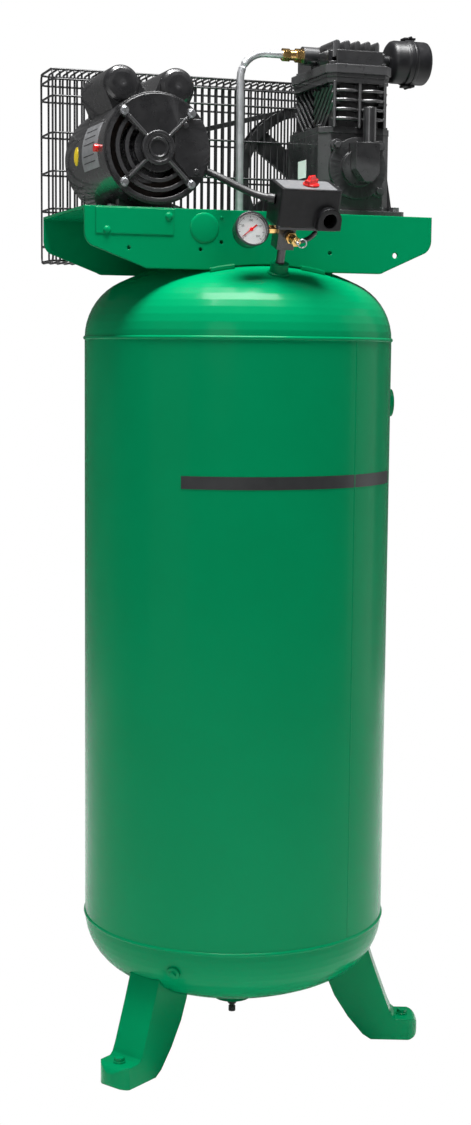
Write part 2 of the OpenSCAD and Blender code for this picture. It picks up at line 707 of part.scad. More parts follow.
// Hollow pistons, each with the two halves of its wrist pin
module pistons() {
    wrist_z = crank_z + throw + rod_len;
    on_tank() color(steel) for (y = bore_y) {
        difference() {
            translate([crank_x, y, wrist_z - 18]) cylinder(r = bore_r - 0.05, h = 46.5);
            translate([crank_x, y, wrist_z - 19]) cylinder(r = bore_r - 3.5, h = 41);
            for (k = [0 : 2]) translate([0, 0, wrist_z + 13 + 4.5 * k]) difference() {
                translate([crank_x, y, 0]) cylinder(r = bore_r + 1, h = 2);
                translate([crank_x, y, -1]) cylinder(r = bore_r - 2, h = 4);
            }
        }
        for (s = [-1, 1]) rod_y(crank_x, wrist_z, s > 0 ? y + 8 : y - bore_r + 3, s > 0 ? y + bore_r - 3 : y - 8, 4.5);
    }
}

module valve_plate() {
    on_tank() color(steel) difference() {
        translate([0, 0, block_top]) linear_extrude(6)
            polygon(cut_rect([crank_x - 55, -75], [crank_x + 55, 103], 12));
        for (y = bore_y, x = [-14, 14]) translate([crank_x + x, y, block_top - 1]) cylinder(r = 6, h = 10);
        for (q = head_bolt_at()) translate([q[0], q[1], block_top - 1]) cylinder(r = 3.6, h = 20);
    }
}

module cylinder_head() {
    z0 = block_top + 6;
    x0 = crank_x - 58;
    x1 = crank_x + 58;
    on_tank() color(iron) difference() {
        union() {
            translate([0, 0, z0]) linear_extrude(14) polygon(cut_rect([x0, -78], [x1, 106], 14));
            translate([0, 0, z0 + 13]) linear_extrude(25) polygon(cut_rect([x0 + 8, -68], [x1 - 8, 96], 10));
            for (k = [0 : 4], y = [-58, 22]) translate([crank_x - 41 + 18 * k, y, z0 + 36]) {
                block([0, 0, 0], [10, 64, 14]);
                translate([5, 64, 14]) rotate([90, 0, 0]) cylinder(r = 5, h = 64, $fn = 24);
            }
            rod_x(0, port_z, crank_x - 75, crank_x - 48, 15);
            rod_x(0, port_z, crank_x + 48, crank_x + 64, 14);
        }
        block([crank_x - 42, -58, z0 - 1], [crank_x - 4, 86, z0 + 28]);
        block([crank_x + 4, -58, z0 - 1], [crank_x + 42, 86, z0 + 28]);
        rod_x(0, port_z, crank_x - 80, crank_x - 40, 8);
        rod_x(0, port_z, crank_x + 40, crank_x + 80, 10);
        for (q = head_bolt_at()) translate([q[0], q[1], z0 - 1]) cylinder(r = 3.6, h = 80);
        for (q = head_bolt_at()) translate([q[0], q[1], z0 + 14]) cylinder(r = 8, h = 80);
    }
}

// Bolts of the head, the deck and the bearing cover
module pump_bolts() {
    on_tank() color(iron) {
        for (q = head_bolt_at()) translate([q[0], q[1], 0]) {
            translate([0, 0, block_top - 12]) cylinder(r = 3.5, h = 33);
            translate([0, 0, block_top + 20]) cylinder(r = 6.5, h = 6, $fn = 6);
        }
        for (q = deck_bolt_at()) translate([q[0], q[1], 0]) {
            translate([0, 0, case_z1 - 14]) cylinder(r = 3, h = 25);
            translate([0, 0, case_z1 + 10]) cylinder(r = 5, h = 4.5, $fn = 6);
        }
        for (q = cover_bolt_at()) {
            rod_y(q[0], q[1], cover_y, case_y[0] + 10, 2.9);
            rod_y(q[0], q[1], cover_y - 1, cover_y + 4, 6, 6);
        }
    }
}

// Oil filler plug on the right of the crankcase
module oil_plug() {
    on_tank() color(iron) {
        rod_x(20, 1502, case_x[1] - 8, case_x[1] + 2, 8);
        rod_x(20, 1502, case_x[1] + 0.2, case_x[1] + 10, 11, 6);
    }
}

// ---- intake filter ----

filter_x0 = 262;
filter_split = filter_x0 + 36;

module filter_base() {
    on_tank() color(steel) difference() {
        union() {
            rod_x(0, port_z, crank_x + 64, filter_x0 + 1, 10);
            rod_x(0, port_z, filter_x0, filter_x0 + 4, 34);
            rod_x(0, port_z, filter_x0 + 3, filter_split, 35);
            rod_x(0, port_z, filter_split - 6, filter_split, 37.5);
        }
        rod_x(0, port_z, crank_x + 60, filter_x0 + 50, 7);
        rod_x(0, port_z, filter_x0 + 5, filter_x0 + 50, 33);
        for (a = [0 : 45 : 315]) rotate_about_port(a) rod_x(22, 0, filter_x0 - 2, filter_x0 + 8, 4);
    }
}

module rotate_about_port(a) { translate([0, 0, port_z]) rotate([a, 0, 0]) children(); }

module filter_cover() {
    x = filter_split;
    on_tank() color(black) {
        difference() {
            union() {
                rod_x(0, port_z, x, x + 5, 37.5);
                rod_x(0, port_z, x + 4, filter_x1, 35.5);
            }
            rod_x(0, port_z, x - 1, filter_x1 - 3, 33);
        }
        for (a = [0, 180]) rotate_about_port(a) block([x - 11, -9, 37.8], [x + 11, 9, 40.5]);
    }
}

module filter_element() {
    on_tank() color([0.85, 0.82, 0.72]) difference() {
        rod_x(0, port_z, filter_x0 + 6, filter_x1 - 4, 28);
        rod_x(0, port_z, filter_x0 + 2, filter_x1, 16);
    }
}

// ---- drive ----

rim_r = fly_pitch + belt_t / 2;
spokes = 5;
spoke_w = 36;

// Outline of the spokes as one star
function turn(p, a) = [p[0] * cos(a) - p[1] * sin(a), p[0] * sin(a) + p[1] * cos(a)];
function spider() = [for (k = [0 : spokes - 1]) let (a = 143 + 360 / spokes * k)
    each [turn([spoke_w / 2 / tan(180 / spokes), -spoke_w / 2], a), turn([rim_r - 14, -spoke_w / 2], a),
        turn([rim_r - 14, spoke_w / 2], a)]];

module flywheel() {
    y0 = belt_y - 16;
    y1 = belt_y + 16;
    on_tank() color(iron) {
        difference() {
            union() {
                ring_y(crank_x, crank_z, y0, y1, rim_r, rim_r - 17);
                rod_y(crank_x, crank_z, y0 - 3, y1 + 2, 27);
                translate([crank_x, y0 + 15, crank_z]) rotate([90, 0, 0]) linear_extrude(9) polygon(spider());
            }
            rod_y(crank_x, crank_z, y0 - 5, y1 + 5, 12.5);
            ring_y(crank_x, crank_z, belt_y - belt_w / 2 - 1, belt_y + belt_w / 2 + 1, rim_r + 5, rim_r - belt_t - 1.5);
        }
        rod_y(crank_x, crank_z, 194, 197, 17);
        rod_y(crank_x, crank_z, 197, 205, 10, 6);
    }
}

// Outline of a belt loop round both wheels, with its surface at s from the pitch line
function belt_loop(s) = let (d = [motor_x - crank_x, motor_z - crank_z], a = atan2(d[1], d[0]),
    b = acos((fly_pitch - pulley_pitch) / norm(d))) concat(
    arc([crank_x, crank_z], fly_pitch + s, a + b, a - b + 360, 48),
    arc([motor_x, motor_z], pulley_pitch + s, a - b, a + b, 16));

module v_belt() {
    on_tank() color(black) translate([0, belt_y + belt_w / 2, 0]) rotate([90, 0, 0]) linear_extrude(belt_w)
        difference() {
            polygon(belt_loop(belt_t / 2));
            polygon(belt_loop(-belt_t / 2));
        }
}

// ---- air line ----

// Delivery tube from the head to the check valve
module discharge_tube() {
    bend = 42;
    route = concat([[crank_x - 82, 0, port_z]],
        [for (i = [0 : 8]) [bend - bend * sin(11.25 * i), 0, port_z - bend + bend * cos(11.25 * i)]],
        [[0, 0, 1500], [0, 0, 1364]]);
    on_tank() color([0.75, 0.76, 0.78]) hose(route, 6.35, 16);
}

module discharge_fittings() {
    x = crank_x - 75;
    on_tank() color(brass) {
        difference() {
            union() {
                rod_x(0, port_z, x - 12, x, 11.5, 6);
                rod_x(0, port_z, x - 24, x - 11, 8.5);
                rod_x(0, port_z, x - 35, x - 22, 10.5, 6);
                rod_x(0, port_z, x - 1, x + 14, 7.9);
            }
            rod_x(0, port_z, x - 36, x + 20, 6.5);
        }
        difference() {
            translate([0, 0, 1362]) cylinder(r = 11.5, h = 14, $fn = 6);
            translate([0, 0, 1360]) cylinder(r = 6.5, h = 20);
        }
    }
}

module check_valve() {
    z = seam_high + dome_h;
    on_tank() color(brass) difference() {
        union() {
            translate([0, 0, z - 2]) cylinder(r = 10, h = 12);
            translate([0, 0, z + 8.1]) cylinder(r = 15, h = 11, $fn = 6);
            translate([0, 0, z + 19]) cylinder(r = 12, h = 1362 - z - 19);
        }
        translate([0, 0, z - 3]) cylinder(r = 6, h = 80);
    }
}

// ---- switch group, in the riser's frame ----

nipple_r = 6.8;

module pipe_nipple() {
    on_tank() color(black) on_riser() difference() {
        translate([0, 0, -6]) cylinder(r = nipple_r, h = 57);
        translate([0, 0, -7]) cylinder(r = nipple_r - 2.5, h = 60);
    }
}

valve_at = [4, 64];

module manifold() {
    on_tank() color(black) on_riser() difference() {
        union() {
            block([-14, -14, 42], [14, 14, switch_n]);
            translate([valve_at[0], -13, valve_at[1]]) rotate([90, 0, 0]) cylinder(r = 9.8, h = 4);
            translate([13, 0, 52]) rotate([0, 90, 0]) cylinder(r = 9, h = 9);
        }
        translate([0, 0, 40]) cylinder(r = nipple_r + 0.1, h = 14);
        translate([0, 0, 40]) cylinder(r = 4, h = 60);
        translate([valve_at[0], -2, valve_at[1]]) rotate([90, 0, 0]) cylinder(r = 5.1, h = 20);
        translate([-20, 0, gauge_n]) rotate([0, 90, 0]) cylinder(r = 4.6, h = 18);
        translate([2, 0, 52]) rotate([0, 90, 0]) cylinder(r = 4.1, h = 30);
    }
}

// Frame of the safety valve: Z along its stem, out of the manifold
module on_valve() { on_riser() translate([valve_at[0], -17, valve_at[1]]) rotate([90, 0, 0]) children(); }

module safety_valve() {
    on_tank() color(brass) on_valve() difference() {
        union() {
            translate([0, 0, -8]) cylinder(r = 5, h = 9);
            translate([0, 0, 0.1]) cylinder(r = 9.5, h = 9, $fn = 6);
            translate([0, 0, 9]) cylinder(r = 7, h = 17);
            translate([0, 0, 25]) cylinder(r = 7.5, h = 5, $fn = 6);
        }
        translate([0, 0, 4]) cylinder(r = 1.65, h = 40);
        for (a = [0 : 60 : 300]) rotate([0, 0, a]) translate([4, 0, 16]) rotate([0, 90, 0]) cylinder(r = 1.4, h = 6);
    }
}

module safety_ring() {
    on_tank() color(steel) on_valve() {
        translate([0, 0, 14]) cylinder(r = 1.6, h = 22);
        translate([0, 0, 35]) sphere(r = 2.6);
        translate([8, 0, 35]) rotate_extrude() translate([6.5, 0]) circle(r = 1.1, $fn = 20);
    }
}

module unloader_tube() {
    route = [[13, 0, 52], [22, 0, 52], [26, 0, 52], [34, 0, 53.5], [42, 0, 57], [48, 0, 62], [52, 0, 67.5],
        [53, 0, 72], [53, 0, switch_n - 0.1]];
    on_tank() color(black) on_riser() hose(route, 4, 12);
}

// Corners of the switch in the riser's frame
sw = [[-22.5, -29], [76.5, 32]];
cover_top = 141;
knob_at = [33, -2];
conduit = [57, 97];
conduit_r = 19;
lead_n = 118;

module switch_base() {
    on_tank() color(steel) on_riser() {
        translate([0, 0, switch_n]) linear_extrude(4) polygon(round_rect(sw[0], sw[1], 6));
        difference() {
            block([-8, -18, switch_n + 4], [40, 16, switch_n + 40]);
            block([0, -19, switch_n + 14], [32, 17, switch_n + 50]);
        }
    }
}

module switch_cover() {
    t = 2.5;
    z0 = switch_n + 4;
    on_tank() color(black) on_riser() difference() {
        union() {
            translate([0, 0, z0]) linear_extrude(cover_top - z0) polygon(round_rect(sw[0], sw[1], 6));
            translate([conduit[0], sw[0][1] + 6, conduit[1]]) rotate([90, 0, 0]) linear_extrude(18)
                polygon(concat(arc([0, 0], conduit_r, 0, 180, 20),
                    [[-conduit_r, z0 - conduit[1]], [conduit_r, z0 - conduit[1]]]));
        }
        translate([0, 0, z0 - 1]) linear_extrude(cover_top - z0 + 1 - t)
            polygon(round_rect(sw[0] + [t, t], sw[1] - [t, t], 4));
        translate([conduit[0], 0, conduit[1]]) rotate([90, 0, 0]) cylinder(r = 11, h = 60);
        translate([knob_at[0], knob_at[1], cover_top - 10]) cylinder(r = 4.05, h = 20);
        translate([sw[0][0] - 5, 0, lead_n]) rotate([0, 90, 0]) cylinder(r = 8.1, h = 20);
    }
}

// Off and auto selector
module switch_knob() {
    on_tank() color([0.85, 0.08, 0.07]) on_riser() translate([knob_at[0], knob_at[1], cover_top]) {
        translate([0, 0, -8]) cylinder(r = 4, h = 9);
        translate([0, 0, 0.3]) cylinder(r = 11, h = 4);
        translate([0, 0, 4]) linear_extrude(11)
            rotate([0, 0, 35]) polygon([[-10, -4], [12, -2.5], [15, 0], [12, 2.5], [-10, 4]]);
    }
}

gauge_bore = 24;

module gauge_case() {
    on_tank() color(steel) {
        on_gauge() difference() {
            union() {
                translate([0, 0, -28]) cylinder(r = gauge_bore + 1.5, h = 27);
                translate([0, 0, -7]) cylinder(r = gauge_bore + 3, h = 7);
            }
            translate([0, 0, -9]) cylinder(r = gauge_bore, h = 20);
        }
        on_gauge() translate([0, 0, -9.5]) cylinder(r = 0.8, h = 4);
        rod_x(gauge_at[1] + gauge_depth, gauge_at[2], gauge_at[0] + 29, riser[0] - 14.1, 7, 6);
        rod_x(gauge_at[1] + gauge_depth, gauge_at[2], gauge_at[0] + 24.3, riser[0] - 6, 4.2);
    }
}

module gauge_dial() {
    on_tank() color("white") on_gauge() difference() {
        translate([0, 0, -9]) cylinder(r = gauge_bore - 0.1, h = 1);
        translate([0, 0, -10]) cylinder(r = 1.2, h = 4);
    }
}

module gauge_needle() {
    on_tank() color([0.80, 0.08, 0.08]) on_gauge() difference() {
        union() {
            translate([0, 0, -7.2]) cylinder(r = 2.6, h = 1.2);
            translate([0, 0, -7.2]) rotate([0, 0, 216]) linear_extrude(0.8)
                polygon([[-10, -1.4], [-10, 1.4], [0, 1.2], [18, 0.4], [18, -0.4], [0, -1.2]]);
        }
        translate([0, 0, -10]) cylinder(r = 0.86, h = 6);
    }
}

module gauge_lens() {
    on_tank() color([0.8, 0.9, 0.95, 0.3]) on_gauge() translate([0, 0, -3.5]) cylinder(r = gauge_bore - 0.1, h = 2);
}

// Lead from the motor to the switch, with a strain relief at each end
function bend_at(p, t) = pow(1 - t, 3) * p[0] + 3 * t * pow(1 - t, 2) * p[1] + 3 * t * t * (1 - t) * p[2] + pow(t, 3) * p[3];
module motor_lead() {
    from = [-101, -116, 1453];
    to = [riser[0] + sw[0][0] - 1.5, riser[1] - lead_n * sin(lean), riser_z + lead_n * cos(lean)];
    route = [for (i = [0 : 10]) bend_at([from, from + [35, -16, -13], to + [-42, 14, 6], to], i / 10)];
    on_tank() color(black) difference() {
        union() {
            hose(route, 5.6, 14);
            hose([from + [-2, 1, 1], from + [6, -2.8, -2.1]], 9, 14);
            hose([to + [-9, 3, 1.3], to + [1, -0.3, -0.1]], 7.6, 14);
        }
        on_motor() rod_y(0, 0, -140, -90, motor_r + 0.1, 96);
        on_riser() block([sw[0][0] - 0.1, sw[0][1], lead_n - 38], [20, sw[1][1], lead_n + 32]);
    }
}

// ---- guard ----

// Flat grille of upright and level bars, with square openings cut clear round the shafts
module grille(w, h, pitch, levels, openings) {
    n = round(w / pitch);
    step = (w - wire_d) / n;
    difference() {
        square([w, h]);
        for (i = [0 : n - 1], k = [0 : len(levels) - 2])
            translate([wire_d + i * step, levels[k] + wire_d]) square([step - wire_d, levels[k + 1] - levels[k] - wire_d]);
        for (o = openings) translate(o[0]) square(o[1]);
    }
}

guard_levels = [0, 12, 60, 111, 162, 213, 263, 302, fz[1] - fz[0] - wire_d];

module guard_front() {
    w = fx[1] - fx[0];
    h = fz[1] - fz[0];
    shafts = [[[motor_x - fx[0] - 34, deck_z - fz[0] + 35], [68, 100]],
        [[crank_x - fx[0] - 44, deck_z - fz[0] + 35], [88, 94]]];
    on_tank() color(black) translate([fx[0], fy[0] + wire_d, fz[0]]) rotate([90, 0, 0])
        linear_extrude(wire_d) grille(w, h, wire_pitch, guard_levels, shafts);
}

module guard_rear() {
    on_tank() color(black) translate([fx[0], fy[1], fz[0]]) rotate([90, 0, 0])
        linear_extrude(wire_d) grille(fx[1] - fx[0], fz[1] - fz[0], wire_pitch, guard_levels, []);
}

// Top, bottom and both ends, between the front and rear grilles
module guard_sides() {
    y0 = fy[0] + wire_d;
    d = fy[1] - wire_d - y0;
    w = fx[1] - fx[0];
    h = fz[1] - fz[0];
    on_tank() color(black) {
        for (z = [fz[0], fz[1] - wire_d]) translate([fx[0], y0, z]) linear_extrude(wire_d)
            grille(w, d, wire_pitch, [0, d - wire_d], []);
        for (x = [fx[0], fx[1] - wire_d]) translate([x, y0, fz[0] + wire_d]) rotate([90, 0, 90])
            linear_extrude(wire_d) grille(d, h - 2 * wire_d, 16, [0, 56, 107, 158, 209, 259, h - 3 * wire_d], []);
    }
}

tank_shell();
tank_top_head();
tank_bottom_head();
leg_front_left();
leg_front_right();
leg_rear();
foot_bolts();
tank_ports();
drain_valve_body();
drain_valve_knob();
base_bracket();
motor_shell();
motor_front_bell();
motor_rear_bell();
motor_stator();
motor_rotor();
motor_pulley();
capacitor_covers();
capacitors();
motor_base();
motor_bolts();
terminal_cover();
reset_button();
crankcase();
bearing_cover();
breather();
crankshaft();
ball_bearings();
cylinder_block();
connecting_rods();
pistons();
valve_plate();
cylinder_head();
pump_bolts();
oil_plug();
filter_base();
filter_cover();
filter_element();
flywheel();
v_belt();
base_bolts();
discharge_tube();
discharge_fittings();
check_valve();
unloader_tube();
pipe_nipple();
manifold();
safety_valve();
safety_ring();
switch_base();
switch_cover();
switch_knob();
gauge_case();
gauge_dial();
gauge_needle();
gauge_lens();
motor_lead();
guard_front();
guard_rear();
guard_sides();
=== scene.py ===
import json
import math

import bmesh
import bpy
from mathutils import Matrix, Vector


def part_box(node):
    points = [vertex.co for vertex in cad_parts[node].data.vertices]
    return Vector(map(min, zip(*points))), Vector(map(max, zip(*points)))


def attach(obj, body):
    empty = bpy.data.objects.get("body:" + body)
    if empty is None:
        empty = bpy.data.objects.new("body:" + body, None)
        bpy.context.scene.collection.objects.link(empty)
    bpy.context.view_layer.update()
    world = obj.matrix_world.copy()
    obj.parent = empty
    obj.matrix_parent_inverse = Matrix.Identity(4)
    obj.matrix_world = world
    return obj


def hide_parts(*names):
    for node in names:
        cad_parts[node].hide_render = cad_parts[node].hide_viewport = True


# Looks of a stationary air compressor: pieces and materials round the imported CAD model, in metres.

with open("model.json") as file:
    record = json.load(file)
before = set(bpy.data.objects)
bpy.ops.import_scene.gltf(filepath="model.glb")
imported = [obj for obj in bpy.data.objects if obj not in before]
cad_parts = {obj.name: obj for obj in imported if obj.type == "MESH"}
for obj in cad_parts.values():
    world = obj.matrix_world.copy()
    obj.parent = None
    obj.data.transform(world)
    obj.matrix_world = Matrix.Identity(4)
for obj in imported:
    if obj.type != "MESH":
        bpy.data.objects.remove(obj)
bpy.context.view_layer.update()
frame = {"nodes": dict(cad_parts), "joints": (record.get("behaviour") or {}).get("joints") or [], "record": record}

MM = 0.001
ROOT = "frame"
joints = {j["name"]: j for j in frame["joints"]}


# ---- places, all from the frame ----

def middle(node):
    """Centre of a node's box."""
    low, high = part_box(node)
    return (low + high) / 2


shell_low, shell_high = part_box("tank_shell")
AXIS = Vector((middle("tank_shell").x, middle("tank_shell").y, 0))
TANK_R = (shell_high.x - shell_low.x) / 2
SEAM_LOW = shell_low.z
SEAM_HIGH = shell_high.z
CRANK = Vector(joints["crank_spin"]["pos_m"])
MOTOR = Vector(joints["motor_spin"]["pos_m"])
MOTOR_R = 0.0855  # of the motor's rolled shell
KNOB = Vector(joints["selector_turn"]["pos_m"])
RISER_UP = Vector(joints["selector_turn"]["axis"])
KNOB_TO_RISER = Vector((-0.033, 0.002, -0.141))  # to the riser's foot, along the knob's own axes
GAUGE = Vector(joints["needle_turn"]["pos_m"])
GAUGE_OUT = -Vector(joints["needle_turn"]["axis"])
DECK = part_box("base_bracket")[1].z


def at(x, y, z):
    """A point given in millimetres from the tank's axis on the floor."""
    return AXIS + Vector((x, y, z)) * MM


def basis(origin, out, side=Vector((1, 0, 0))):
    """Axes at a point, with Z along out and X as near to side as it can be."""
    z = out.normalized()
    y = z.cross(side).normalized()
    x = y.cross(z)
    m = Matrix((x, y, z)).transposed().to_4x4()
    m.translation = origin
    return m


# ---- materials ----

# Colour sockets of a Mix node, whose names are shared by its other data types.
MIX_A, MIX_B, MIX_RESULT = 6, 7, 2


class Shader:
    """A procedural material with a few short calls for what is common."""

    def __init__(self, name, colour, rough, metal=0.0, coat=0.0, round_edge=0.0):
        self.material = bpy.data.materials.new(name)
        self.material.use_nodes = True
        self.nodes = self.material.node_tree.nodes
        self.links = self.material.node_tree.links
        self.bsdf = self.nodes["Principled BSDF"]
        self.bsdf.inputs["Base Color"].default_value = (*colour, 1)
        self.bsdf.inputs["Roughness"].default_value = rough
        self.bsdf.inputs["Metallic"].default_value = metal
        self.bsdf.inputs["Coat Weight"].default_value = coat
        self.bsdf.inputs["Coat Roughness"].default_value = 0.05
        self.colour = colour
        self.rough = rough
        self.place = self.add("ShaderNodeTexCoord").outputs["Object"]
        self.last_bump = None
        if round_edge:
            edge = self.nodes.new("ShaderNodeBevel")
            edge.samples = 6
            edge.inputs["Radius"].default_value = round_edge
            self.last_bump = edge.outputs["Normal"]
            self.links.new(self.last_bump, self.bsdf.inputs["Normal"])

    def add(self, kind, **values):
        node = self.nodes.new(kind)
        for key, value in values.items():
            node.inputs[key].default_value = value
        return node

    def noise(self, scale, detail=4.0, stretch=None):
        """Noise over the surface, in features per metre."""
        node = self.add("ShaderNodeTexNoise", Scale=scale, Detail=detail)
        source = self.place
        if stretch:
            scaled = self.add("ShaderNodeMapping", Scale=stretch)
            self.links.new(source, scaled.inputs["Vector"])
            source = scaled.outputs["Vector"]
        self.links.new(source, node.inputs["Vector"])
        return node.outputs["Fac"]

    def ramp(self, source, low, high, start, end):
        """Values from low to high as source goes from start to end."""
        node = self.add("ShaderNodeMapRange")
        self.links.new(source, node.inputs["Value"])
        node.inputs["From Min"].default_value = start
        node.inputs["From Max"].default_value = end
        node.inputs["To Min"].default_value = low
        node.inputs["To Max"].default_value = high
        return node.outputs["Result"]

    def mix_in(self, factor, other):
        """Mixes another colour over the base by a factor."""
        mix = self.add("ShaderNodeMix")
        mix.data_type = "RGBA"
        self.links.new(factor, mix.inputs["Factor"])
        base = self.bsdf.inputs["Base Color"]
        if base.is_linked:
            self.links.new(base.links[0].from_socket, mix.inputs[MIX_A])
        else:
            mix.inputs[MIX_A].default_value = (*self.colour, 1)
        mix.inputs[MIX_B].default_value = (*other, 1)
        self.links.new(mix.outputs[MIX_RESULT], base)
        return self

    def vary_colour(self, scale, other, amount):
        """Mixes another colour in where a noise is high."""
        return self.mix_in(self.ramp(self.noise(scale), 0, amount, 0.4, 0.65), other)

    def vary_rough(self, scale, spread):
        """Roughness that wanders by spread either way."""
        value = self.ramp(self.noise(scale), self.rough - spread, self.rough + spread, 0.3, 0.7)
        self.links.new(value, self.bsdf.inputs["Roughness"])
        return self

    def painted_edge_highlight(self, other):
        """A lighter colour where the surface is convex: a painted highlight along the edges."""
        point = self.add("ShaderNodeNewGeometry").outputs["Pointiness"]
        return self.mix_in(self.ramp(point, 0, 0.6, 0.53, 0.60), other)

    def bump(self, scale, depth, detail=3.0, strength=1.0, stretch=None):
        """Relief of the given depth in metres."""
        node = self.add("ShaderNodeBump", Strength=strength, Distance=depth)
        self.links.new(self.noise(scale, detail, stretch), node.inputs["Height"])
        if self.last_bump:
            self.links.new(self.last_bump, node.inputs["Normal"])
        self.links.new(node.outputs["Normal"], self.bsdf.inputs["Normal"])
        self.last_bump = node.outputs["Normal"]
        return self


def green_paint():
    s = Shader("green_paint", (0.0, 0.212, 0.079), 0.22, coat=0.03, round_edge=0.003)
    s.bsdf.inputs["Specular IOR Level"].default_value = 0.06
    s.vary_colour(7, (0.0, 0.200, 0.073), 0.6)
    return s.vary_rough(30, 0.03).bump(160, 0.00005).bump(14, 0.0005, 1.0, 0.25).material


def motor_paint():
    s = Shader("motor_paint", (0.008, 0.008, 0.009), 0.30, coat=0.8, round_edge=0.0022)
    s.vary_colour(60, (0.015, 0.015, 0.016), 0.8)
    # Convex edges painted lighter: a painted edge highlight, not wear.
    s.vary_rough(90, 0.05).painted_edge_highlight((0.04, 0.04, 0.042))
    return s.bump(700, 0.00005).bump(90, 0.0002, 2.0, 0.4).material


def cast_paint():
    s = Shader("cast_paint", (0.010, 0.010, 0.011), 0.33, coat=0.8, round_edge=0.0028)
    s.vary_colour(45, (0.020, 0.020, 0.021), 0.8)
    # Convex edges painted lighter: a painted edge highlight, not wear.
    s.vary_rough(120, 0.08).painted_edge_highlight((0.06, 0.06, 0.062))
    return s.bump(420, 0.0004, 5.0, 0.7).bump(60, 0.0008, 2.0, 0.5).material


def drive_iron():
    s = Shader("drive_iron", (0.009, 0.009, 0.010), 0.42, round_edge=0.002)
    s.vary_colour(50, (0.018, 0.018, 0.018), 0.7)
    return s.vary_rough(100, 0.08).bump(300, 0.0003, 4.0, 0.6).material


def wire_paint():
    s = Shader("wire_paint", (0.008, 0.008, 0.009), 0.34, coat=0.1)
    return s.vary_colour(80, (0.014, 0.014, 0.015), 0.8).vary_rough(120, 0.05).bump(900, 0.00005).material


def zinc():
    s = Shader("zinc", (0.52, 0.53, 0.55), 0.33, metal=1.0, round_edge=0.001)
    s.vary_colour(220, (0.40, 0.41, 0.42), 0.8)
    return s.vary_rough(300, 0.08).bump(800, 0.00004).material


def machined():
    s = Shader("machined", (0.56, 0.56, 0.57), 0.28, metal=1.0, round_edge=0.001)
    s.vary_colour(90, (0.42, 0.42, 0.43), 0.7)
    return s.vary_rough(150, 0.06).bump(600, 0.00004, stretch=(1, 0.05, 1)).material


def alloy_tube():
    s = Shader("alloy_tube", (0.62, 0.63, 0.65), 0.36, metal=0.8)
    s.vary_colour(70, (0.46, 0.47, 0.49), 0.7)
    return s.vary_rough(120, 0.07).bump(500, 0.00005).material


def brass():
    s = Shader("brass", (0.80, 0.52, 0.20), 0.22, metal=1.0, round_edge=0.001)
    s.vary_colour(160, (0.62, 0.38, 0.13), 0.7)
    return s.vary_rough(200, 0.06).bump(700, 0.00004).material


def winding():
    s = Shader("winding", (0.030, 0.016, 0.010), 0.45)
    return s.vary_colour(200, (0.016, 0.009, 0.006), 0.9).bump(900, 0.0003, stretch=(1, 6, 1)).material


def rubber():
    s = Shader("rubber", (0.010, 0.010, 0.011), 0.48, round_edge=0.001)
    s.vary_colour(150, (0.018, 0.018, 0.019), 0.8)
    return s.vary_rough(200, 0.08).bump(900, 0.0001).material


def black_plastic():
    s = Shader("black_plastic", (0.007, 0.007, 0.008), 0.36, round_edge=0.003)
    s.bsdf.inputs["Specular IOR Level"].default_value = 0.3
    s.vary_colour(70, (0.012, 0.012, 0.013), 0.7)
    return s.vary_rough(150, 0.05).bump(1500, 0.0001, 2.0, 0.6).material


def pad_grey():
    s = Shader("pad_grey", (0.105, 0.107, 0.112), 0.42)
    return s.vary_colour(220, (0.145, 0.147, 0.152), 0.8).bump(1300, 0.0001).material


def red_plastic():
    s = Shader("red_plastic", (0.68, 0.010, 0.010), 0.24, coat=0.3, round_edge=0.0015)
    return s.vary_colour(120, (0.56, 0.008, 0.008), 0.7).vary_rough(200, 0.05).bump(700, 0.00003).material


def grey_metal():
    s = Shader("grey_metal", (0.020, 0.021, 0.024), 0.16, coat=0.4, round_edge=0.001)
    return s.vary_colour(80, (0.028, 0.029, 0.033), 0.8).vary_rough(130, 0.04).bump(600, 0.00003).material


def white_print():
    s = Shader("white_print", (0.93, 0.93, 0.92), 0.35)
    return s.vary_colour(60, (0.88, 0.88, 0.87), 0.6).bump(900, 0.00002).material


def black_print():
    s = Shader("black_print", (0.016, 0.017, 0.018), 0.4)
    return s.vary_colour(60, (0.022, 0.023, 0.024), 0.6).bump(900, 0.00002).material


def yellow_print():
    s = Shader("yellow_print", (0.82, 0.60, 0.01), 0.35)
    return s.vary_colour(90, (0.76, 0.55, 0.01), 0.6).bump(900, 0.00002).material


def clear_lens():
    s = Shader("clear_lens", (0.97, 0.98, 0.98), 0.02)
    s.bsdf.inputs["Transmission Weight"].default_value = 1.0
    s.bsdf.inputs["IOR"].default_value = 1.08
    return s.vary_colour(40, (0.98, 0.99, 0.99), 0.5).material


def pleated_paper():
    s = Shader("pleated_paper", (0.66, 0.58, 0.40), 0.8)
    return s.vary_colour(120, (0.58, 0.50, 0.34), 0.8).bump(500, 0.0004).material


MATERIALS = {
    "green_paint": green_paint(), "black_paint": motor_paint(), "pump_iron": cast_paint(),
    "drive_iron": drive_iron(), "guard_wire": wire_paint(), "bolt_steel": zinc(),
    "machined_steel": machined(), "alloy": alloy_tube(), "brass": brass(), "winding": winding(),
    "black_rubber": rubber(), "black_plastic": black_plastic(), "red_plastic": red_plastic(),
    "grey_metal": grey_metal(), "dial_white": white_print(), "needle_red": red_plastic(),
    "lens": clear_lens(), "filter_paper": pleated_paper(), "yellow_print": yellow_print(),
    "pad_grey": pad_grey(), "black_print": black_print(),
}


def paint_nodes():
    """Gives each CAD node the procedural material of its slot."""
    for part in frame["record"]["subparts"]:
        node = frame["nodes"][part["node"]]
        node.data.materials.clear()
        node.data.materials.append(MATERIALS[part["material_slot"]])


# ---- camera and light ----

